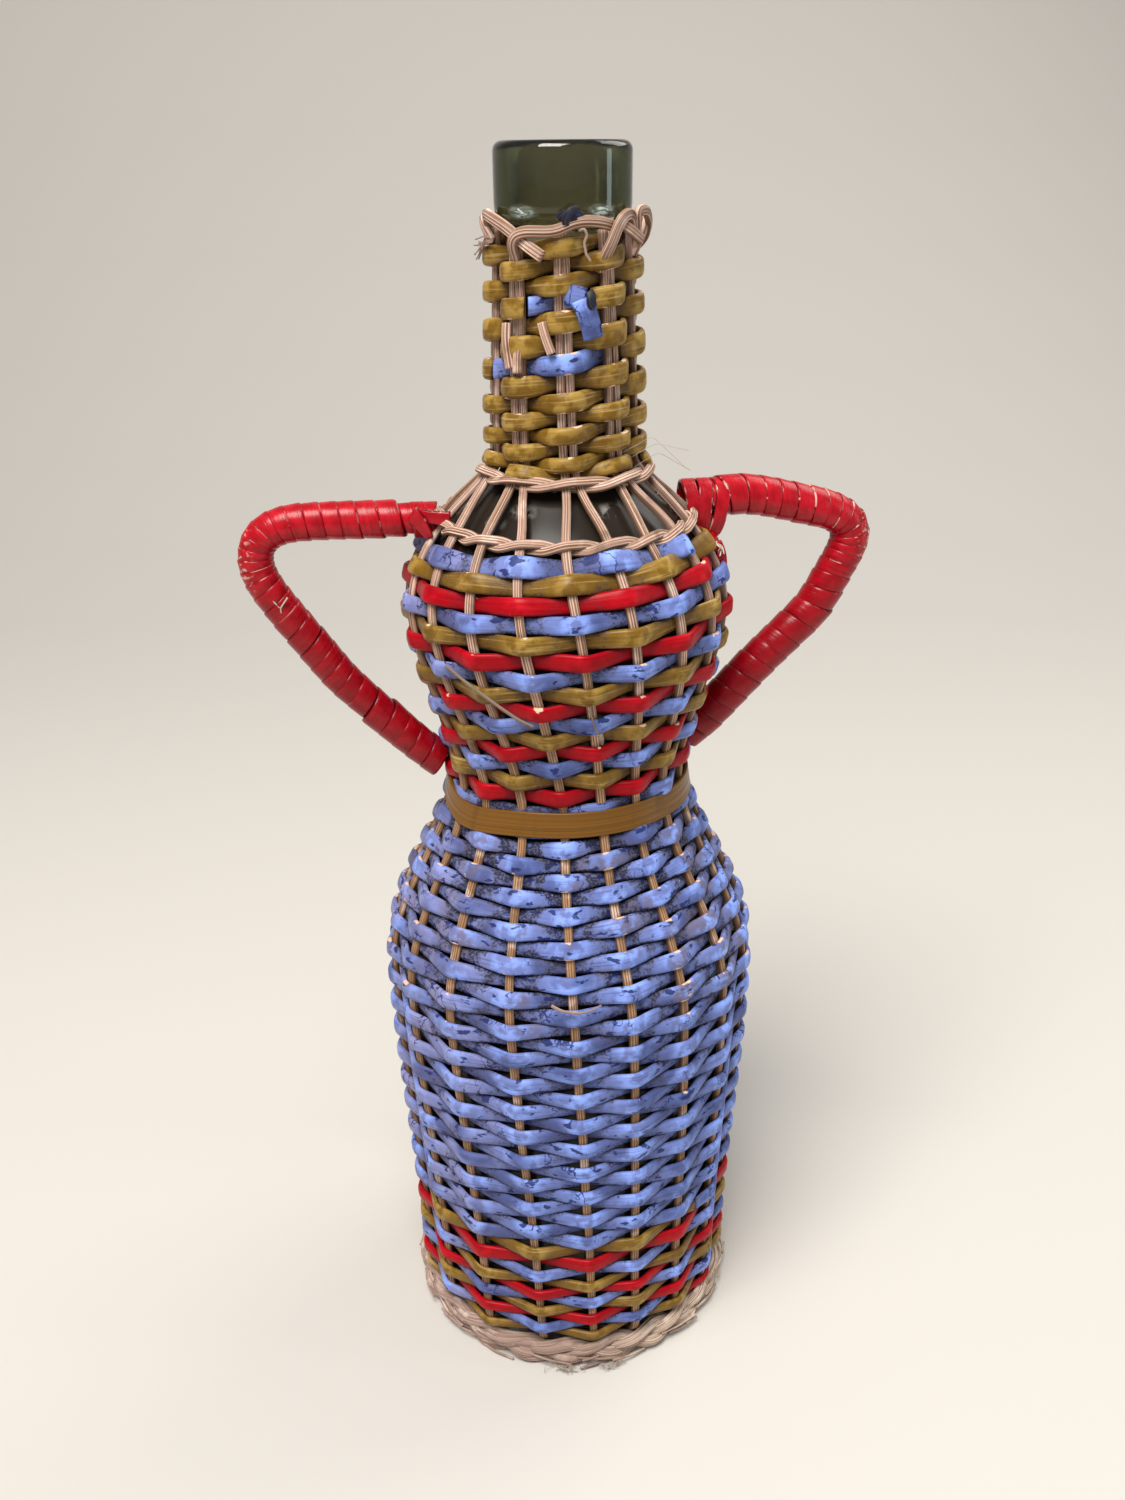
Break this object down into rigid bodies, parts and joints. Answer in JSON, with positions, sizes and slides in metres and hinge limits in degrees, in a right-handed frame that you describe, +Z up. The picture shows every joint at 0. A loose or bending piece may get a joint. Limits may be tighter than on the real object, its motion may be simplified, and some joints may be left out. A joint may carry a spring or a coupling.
{
  "type": "wicker demijohn",
  "caption": "Small green glass double-gourd bottle in a woven cane jacket, with a twisted shoulder ring, a plaited foot and side handles bound in reed.",
  "frame": {"origin": "on the bottle's axis, on the surface that the plaited foot stands on", "axes": "+Z up along the bottle's axis, -Y towards the front as pictured, +X to the viewer's right, across the two handles"},
  "size_m": [0.1583, 0.102, 0.32],
  "materials": {
    "green_glass": "clear dark green blown glass, glossy",
    "natural_cane": "bare cane, dull, with grey grooves",
    "straw_plait": "dry straw-coloured cane, matt and frayed",
    "blue_reed": "dyed blue reed, worn satin",
    "mustard_reed": "dyed mustard reed, worn satin",
    "red_reed": "dyed red reed, worn satin",
    "brown_reed": "varnished brown flat reed"
  },
  "bodies": {
    "root": {"glass_bottle": "green_glass", "base_mat": "straw_plait", "foot_braid": "straw_plait", "waist_belt": "brown_reed", "shoulder_ring": "natural_cane", "neck_ring": "natural_cane", "mouth_border": "natural_cane", "lower_band_blue": "blue_reed", "lower_band_red": "red_reed", "lower_band_mustard": "mustard_reed", "lower_weaver_blue_1": "blue_reed", "lower_weaver_blue_2": "blue_reed", "lower_weaver_blue_3": "blue_reed", "upper_weaver_red": "red_reed", "upper_weaver_mustard": "mustard_reed", "upper_weaver_blue": "blue_reed", "neck_weaver_1_low": "mustard_reed", "neck_weaver_blue": "blue_reed", "neck_weaver_1_high": "mustard_reed", "neck_weaver_2": "mustard_reed", "neck_weaver_3": "mustard_reed", "handle_core_left": "straw_plait", "handle_core_right": "straw_plait", "handle_wrap_left": "red_reed", "handle_wrap_right": "red_reed", "handle_lashing_left": "red_reed", "handle_lashing_right": "red_reed", "stake_01": "natural_cane", "stake_02": "natural_cane", "stake_03": "natural_cane", "stake_04": "natural_cane", "stake_05": "natural_cane", "stake_06": "natural_cane", "stake_07": "natural_cane", "stake_08": "natural_cane", "stake_09": "natural_cane", "stake_10": "natural_cane", "stake_11": "natural_cane", "stake_12": "natural_cane", "stake_13": "natural_cane", "stake_14": "natural_cane", "stake_15": "natural_cane", "stake_16": "natural_cane", "stake_17": "natural_cane", "stake_18": "natural_cane", "stake_19": "natural_cane"}
  },
  "joints": []
}
